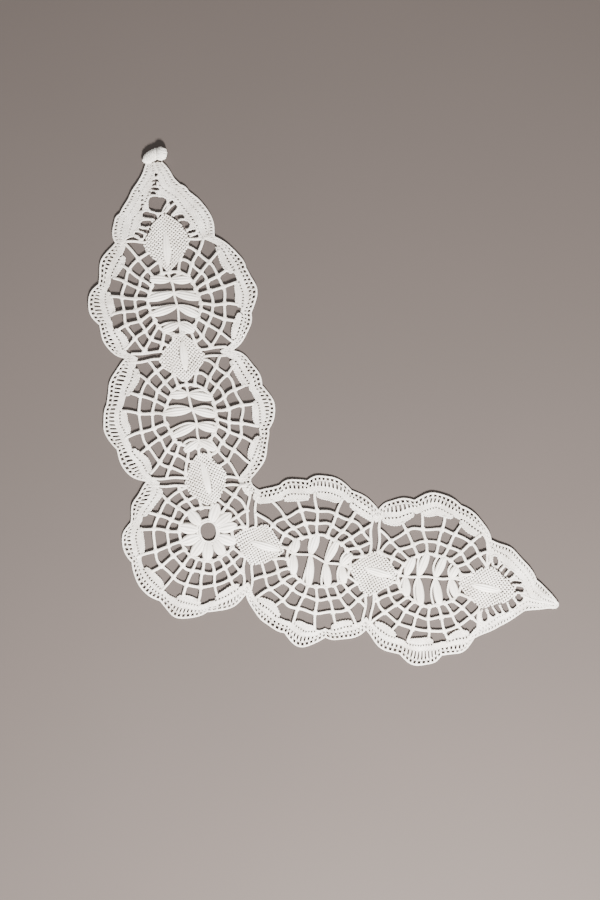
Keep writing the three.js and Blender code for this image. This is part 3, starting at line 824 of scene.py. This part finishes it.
def edging_rows(threads, run, bay):
    start, end = run.length[run.cuts[bay]], run.length[run.cuts[bay + 1]]
    stations = np.append(np.arange(start, end - 0.2, 0.4), end)
    tip = bay in (0, 6)
    rows, band = run.rows, run.band
    pitch = 2.0 if tip else 2.7
    for row, width, strands, twist in (("hem", 1.2, 3, 2.6), ("cord", 0.95, 2, 2.2)):
        path = run.at(stations, run.value(stations, rows[row]))
        plait(threads, path, width=width, strands=strands, pitch=twist)
    low, high = rows["holes_low"], rows["holes_high"]
    row_of_bars(threads, run, start, end, low, high, pitch, 1.1)
    low, high = rows["ladder_low"], rows["ladder_high"]
    row_of_bars(threads, run, start, end, low, high, pitch * 0.9, 1.1 if tip else 1.3)
    if tip:
        deep = np.maximum(run.depth + 0.1, band)
        far_low, far_high = np.minimum(rows["far_low"], deep), np.minimum(rows["far_high"], deep)
        clothwork(threads, run, start, end, rows["cord"] + 0.45, low)
        clothwork(threads, run, start, end, high, far_low)
        row_of_bars(threads, run, start, end, far_low, far_high, pitch, 1.1)
        clothwork(threads, run, start, end, far_high, deep)
    else:
        clothwork(threads, run, start, end, high, rows["holes"])
        row_of_bars(threads, run, start, end, rows["holes"], run.fan_low, 2.0, 0.95)
        fan_high = np.where(run.swell > 0.2, run.depth - 0.5, run.fan_low)
        clothwork(threads, run, start, end, run.fan_low, fan_high)
        picots(threads, run, start, end)


def tip_ends(threads, tip_number):
    """The plait where the two edgings meet in a tip, and the one round the lower tip's end."""
    net_end = np.array(NETS[0][:2] if tip_number == 0 else NETS[5][:2])
    plait(threads, [TIP_ENDS[tip_number], net_end], width=SPINE_PLAIT, keep=in_open_tip)
    if tip_number == 1:
        inner = np.array(LOWER_END) + np.array(LOWER_END_INSET)
        plait(threads, evenly(LOWER_END, 0.3), width=RIM_PLAIT)
        plait(threads, evenly(inner, 0.3), width=RIM_PLAIT)


def in_open_tip(points):
    return clear_of_gaps(points) & ~in_any_net(points, NET_HOLD)


def gap_rims(threads, tip_number):
    """The legs between the gaps of a tip: a plait round each gap."""
    for x, y, length, width, heading in TIP_GAPS:
        if (x > 0) != (tip_number == 1):
            continue
        turns = np.linspace(0, 2 * np.pi, 40)
        cos, sin = np.cos(turns), np.sin(turns)
        round_end = 2 / 3
        along = np.sign(cos) * np.abs(cos) ** round_end * (length / 2 + 0.75)
        across = np.sign(sin) * np.abs(sin) ** round_end * (width / 2 + 0.75)
        path = np.array([x, y]) + np.outer(along, unit(heading)) + np.outer(across, unit(heading + 90))
        plait(threads, path, width=1.2, strands=2, pitch=2.0, keep=in_tip_cloth)


def in_tip_cloth(points):
    """True outside the nets and on the tips' side of the tips' seams."""
    first, last = beside_seams(0, points), beside_seams(4, points)
    return ~in_any_net(points, -0.4) & ~first & ~last


# ---------------------------------------------------------------- knot


def knot_threads():
    """Each lobe is wound round with fine thread, one turn lying askew over the next."""
    threads = Threads()
    turns = np.linspace(0, 2 * np.pi, 20, endpoint=False)
    for lobe, (x, y, z, half_length, half_width, half_height, heading) in enumerate(KNOT_LOBES):
        for wind in range(WINDINGS):
            tilt = 0.94 * (2 * wind / (WINDINGS - 1) - 1)
            ring = math.sqrt(max(0.05, 1 - tilt**2))
            askew = 0.16 * math.sin(2.4 * wind + lobe)
            lean = askew * np.cos(turns) + 0.07 * np.sin(turns + wind)
            along = (tilt + lean * ring) * half_length * 0.93
            across = np.cos(turns) * ring * half_width * 0.93
            points = np.array([x, y]) + np.outer(along, unit(heading))
            points = points + np.outer(across, unit(heading + 90))
            heights = z + np.sin(turns) * ring * half_height * 0.95 - lift(points)
            threads.lay(points, heights, WINDING_THREAD, closed=True)
    return threads


def knot_core():
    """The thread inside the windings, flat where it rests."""
    core = bmesh.new()
    for x, y, z, half_length, half_width, half_height, heading in KNOT_LOBES:
        one = bmesh.new()
        bmesh.ops.create_icosphere(one, subdivisions=3, radius=1)
        size = (half_length * 0.9, half_width * 0.9, half_height * 0.9)
        bmesh.ops.scale(one, verts=one.verts, vec=size)
        turn = Matrix.Rotation(math.radians(heading), 3, "Z")
        bmesh.ops.rotate(one, verts=one.verts, cent=(0, 0, 0), matrix=turn)
        bmesh.ops.translate(one, verts=one.verts, vec=(x + SHIFT[0], y + SHIFT[1], z))
        for vert in one.verts:
            vert.co.z = max(vert.co.z, 0)
        bmesh.ops.scale(one, verts=one.verts, vec=(MM, MM, MM))
        add_to(core, one)
    return core


# ---------------------------------------------------------------- finishes


def cotton(name, colour, shade, weave_scale, weave_bump, sheen):
    """Washed ivory cotton: uneven tone, fine fibre and the small relief of spun thread."""
    material = bpy.data.materials.new(name)
    material.use_nodes = True
    nodes, links = material.node_tree.nodes, material.node_tree.links
    shader = nodes["Principled BSDF"]
    shader.inputs["Roughness"].default_value = 0.86
    shader.inputs["Specular IOR Level"].default_value = 0.25
    shader.inputs["Sheen Weight"].default_value = sheen
    shader.inputs["Sheen Roughness"].default_value = 0.5
    place = nodes.new("ShaderNodeTexCoord")
    tone = nodes.new("ShaderNodeTexNoise")
    tone.inputs["Scale"].default_value = 90
    tone.inputs["Detail"].default_value = 4
    links.new(place.outputs["Object"], tone.inputs["Vector"])
    fibre = nodes.new("ShaderNodeTexNoise")
    fibre.inputs["Scale"].default_value = 2600
    fibre.inputs["Detail"].default_value = 3
    fibre.inputs["Roughness"].default_value = 0.65
    links.new(place.outputs["Object"], fibre.inputs["Vector"])
    mixed = nodes.new("ShaderNodeMath")
    mixed.operation = "MULTIPLY_ADD"
    mixed.inputs[1].default_value = 0.45
    links.new(fibre.outputs["Fac"], mixed.inputs[0])
    links.new(tone.outputs["Fac"], mixed.inputs[2])
    ramp = nodes.new("ShaderNodeValToRGB")
    ramp.color_ramp.elements[0].position = 0.45
    ramp.color_ramp.elements[0].color = (*shade, 1)
    ramp.color_ramp.elements[1].position = 0.85
    ramp.color_ramp.elements[1].color = (*colour, 1)
    links.new(mixed.outputs["Value"], ramp.inputs["Fac"])
    links.new(ramp.outputs["Color"], shader.inputs["Base Color"])
    spun = nodes.new("ShaderNodeTexVoronoi")
    spun.inputs["Scale"].default_value = weave_scale
    links.new(place.outputs["Object"], spun.inputs["Vector"])
    relief = nodes.new("ShaderNodeMath")
    relief.operation = "ADD"
    links.new(spun.outputs["Distance"], relief.inputs[0])
    links.new(fibre.outputs["Fac"], relief.inputs[1])
    bump = nodes.new("ShaderNodeBump")
    bump.inputs["Strength"].default_value = weave_bump
    bump.inputs["Distance"].default_value = 0.00008
    links.new(relief.outputs["Value"], bump.inputs["Height"])
    links.new(bump.outputs["Normal"], shader.inputs["Normal"])
    return material


def woven_cotton(name, colour, shade):
    """The leaf's finish: fine wefts across it, on the leaf's own map."""
    material = cotton(name, colour, shade, 2400, 0.35, 0.25)
    nodes, links = material.node_tree.nodes, material.node_tree.links
    bump = nodes["Bump"]
    map_place = nodes.new("ShaderNodeTexCoord")
    wefts = nodes.new("ShaderNodeTexWave")
    wefts.bands_direction = "X"
    wefts.inputs["Scale"].default_value = 11
    wefts.inputs["Distortion"].default_value = 1.2
    wefts.inputs["Detail"].default_value = 2
    links.new(map_place.outputs["UV"], wefts.inputs["Vector"])
    second = nodes.new("ShaderNodeBump")
    second.inputs["Strength"].default_value = 0.5
    second.inputs["Distance"].default_value = 0.0001
    links.new(wefts.outputs["Fac"], second.inputs["Height"])
    links.new(bump.outputs["Normal"], second.inputs["Normal"])
    links.new(second.outputs["Normal"], nodes["Principled BSDF"].inputs["Normal"])
    return material


PLAITED = cotton("plaited ivory cotton", (0.9, 0.87, 0.82), (0.66, 0.62, 0.56), 2200, 0.5, 0.2)
TWISTED = cotton("twisted ivory net cotton", (0.88, 0.85, 0.8), (0.64, 0.6, 0.54), 2200, 0.5, 0.2)
CLOTH = cotton("ivory clothwork cotton", (0.9, 0.875, 0.83), (0.64, 0.6, 0.55), 1800, 0.5, 0.2)
WOVEN = woven_cotton("woven ivory leaf cotton", (0.9, 0.87, 0.82), (0.66, 0.62, 0.56))
CORD = cotton("knotted ivory cord", (0.89, 0.87, 0.83), (0.76, 0.72, 0.66), 1600, 0.6, 0.25)


# ---------------------------------------------------------------- putting the pieces down


def put_down(name, mesh, finish):
    """A finished piece, resting on the root body."""
    mesh.name = name
    mesh.materials.clear()
    mesh.materials.append(finish)
    piece = bpy.data.objects.new(name, mesh)
    bpy.context.scene.collection.objects.link(piece)
    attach(piece, "root")
    return piece


def from_bmesh(shape, name):
    mesh = bpy.data.meshes.new(name)
    for face in shape.faces:
        face.smooth = True
    shape.to_mesh(mesh)
    shape.free()
    return mesh


GROUND_HALF = 60  # half width of the grid on which a web's ground is counted
GROUND_STEP = 0.8
WEB_REACH = 56  # past the furthest corner of a web


def web_ground(index):
    """The web's width over its heading, its length along it, and its ground, in millimetres."""
    _, x, y, heading, *_ = ROUNDELS[index]
    steps = np.arange(-GROUND_HALF, GROUND_HALF, GROUND_STEP)
    places = np.stack(np.meshgrid(steps, steps), axis=-1).reshape(-1, 2)
    points = places + np.array([x, y])
    near = np.hypot(*places.T) < WEB_REACH
    points, places = points[near], places[near]
    inside = beside_seams(index, points) & ~in_any_net(points) & in_collar(points)
    inside &= ~in_edging(points) & ~in_fan(index, points)
    found = places[inside]
    across, along = found @ unit(heading + 90), found @ unit(heading)
    return np.ptp(across), np.ptp(along), len(found) * GROUND_STEP**2


def in_collar(points):
    """True inside the outline, by the side on which the nearest place of a run lies."""
    inside = np.ones(len(points), bool)
    for run in (outer_run, neck_run):
        outline, inwards = run.points[::3], run.inwards[::3]
        gap = points[:, None] - outline[None]
        nearest = np.argmin(np.hypot(gap[..., 0], gap[..., 1]), axis=1)
        chosen = gap[np.arange(len(points)), nearest]
        inside &= np.sum(chosen * inwards[nearest], axis=1) > 0
    return inside


for index, (name, *_) in enumerate(ROUNDELS):
    web = put_down(f"web_{name}_plaits", web_threads(index).mesh(name), PLAITED)
    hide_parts(f"web_{name}")
    leaf_mesh = from_bmesh(web_leaves(index), name)
    leaves = put_down(f"web_{name}_leaves", leaf_mesh, WOVEN)
    web_ground(index)
    for run, side in ((outer_run, "outer"), (neck_run, "neck")):
        threads = Threads()
        edging_rows(threads, run, index + 1)
        edging = put_down(f"{side}_edging_{name}_rows", threads.mesh(name), CLOTH)
        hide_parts(f"{side}_edging_{name}")

for number in range(len(NETS)):
    net_name = f"net_{number + 1}"
    net = put_down(f"{net_name}_mesh", net_threads(number).mesh(net_name), TWISTED)
    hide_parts(net_name)
    leaf = put_down(f"{net_name}_leaf", from_bmesh(net_leaf(number), net_name), WOVEN)

for tip_number, (tip_name, bay) in enumerate((("tip_upper", 0), ("tip_lower", 6))):
    threads = Threads()
    edging_rows(threads, outer_run, bay)
    edging_rows(threads, neck_run, bay)
    gap_rims(threads, tip_number)
    tip_ends(threads, tip_number)
    tip = put_down(f"{tip_name}_rows", threads.mesh(tip_name), CLOTH)
    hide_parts(tip_name)

knot = put_down("knot_windings", knot_threads().mesh("knot"), CORD)
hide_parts("knot")
put_down("knot_core", from_bmesh(knot_core(), "knot_core"), CORD)


# ---------------------------------------------------------------- surface, light and camera

VIEW_MIDDLE = (-12.4, -24.3)
VIEW_HEIGHT = 508.5
CAMERA_HEIGHT = 1500
SENSOR = 36


def plain_surface():
    floor = bmesh.new()
    bmesh.ops.create_grid(floor, x_segments=1, y_segments=1, size=3)
    bmesh.ops.translate(floor, verts=floor.verts, vec=(0, 0, -0.00005))
    mesh = bpy.data.meshes.new("surface")
    floor.to_mesh(mesh)
    floor.free()
    surface = bpy.data.objects.new("surface", mesh)
    bpy.context.scene.collection.objects.link(surface)
    paper = bpy.data.materials.new("warm grey paper")
    paper.use_nodes = True
    nodes, links = paper.node_tree.nodes, paper.node_tree.links
    shader = nodes["Principled BSDF"]
    shader.inputs["Roughness"].default_value = 0.9
    place = nodes.new("ShaderNodeTexCoord")
    tone = nodes.new("ShaderNodeTexNoise")
    tone.inputs["Scale"].default_value = 6
    links.new(place.outputs["Object"], tone.inputs["Vector"])
    ramp = nodes.new("ShaderNodeValToRGB")
    ramp.color_ramp.elements[0].color = (0.069, 0.057, 0.052, 1)
    ramp.color_ramp.elements[1].color = (0.077, 0.063, 0.058, 1)
    links.new(tone.outputs["Fac"], ramp.inputs["Fac"])
    links.new(ramp.outputs["Color"], shader.inputs["Base Color"])
    mesh.materials.append(paper)


def lamp(name, azimuth, elevation, distance, watts, size, colour):
    """A square light, its azimuth in degrees round from +X, that looks at the collar's middle."""
    light = bpy.data.lights.new(name, "AREA")
    light.energy = watts
    light.size = size
    light.color = colour
    stand = bpy.data.objects.new(name, light)
    a, e = math.radians(azimuth), math.radians(elevation)
    towards = Vector((math.cos(a) * math.cos(e), math.sin(a) * math.cos(e), math.sin(e)))
    stand.location = towards * distance
    stand.rotation_euler = towards.to_track_quat("Z", "Y").to_euler()
    bpy.context.scene.collection.objects.link(stand)


plain_surface()
lamp("key", -78, 38, 0.9, 46, 0.13, (1, 0.96, 0.92))
lamp("fill", 130, 60, 1.6, 7, 0.9, (1, 0.98, 0.96))
world = bpy.data.worlds.new("studio")
world.use_nodes = True
world.node_tree.nodes["Background"].inputs["Color"].default_value = (1, 0.98, 0.96, 1)
world.node_tree.nodes["Background"].inputs["Strength"].default_value = 0.45
bpy.context.scene.world = world

camera_data = bpy.data.cameras.new("camera")
camera_data.sensor_width = SENSOR
camera_data.lens = SENSOR * CAMERA_HEIGHT / VIEW_HEIGHT
camera_data.clip_end = 20
camera = bpy.data.objects.new("camera", camera_data)
camera.location = (
    (VIEW_MIDDLE[0] + SHIFT[0]) * MM,
    (VIEW_MIDDLE[1] + SHIFT[1]) * MM,
    CAMERA_HEIGHT * MM,
)
bpy.context.scene.collection.objects.link(camera)
bpy.context.scene.camera = camera
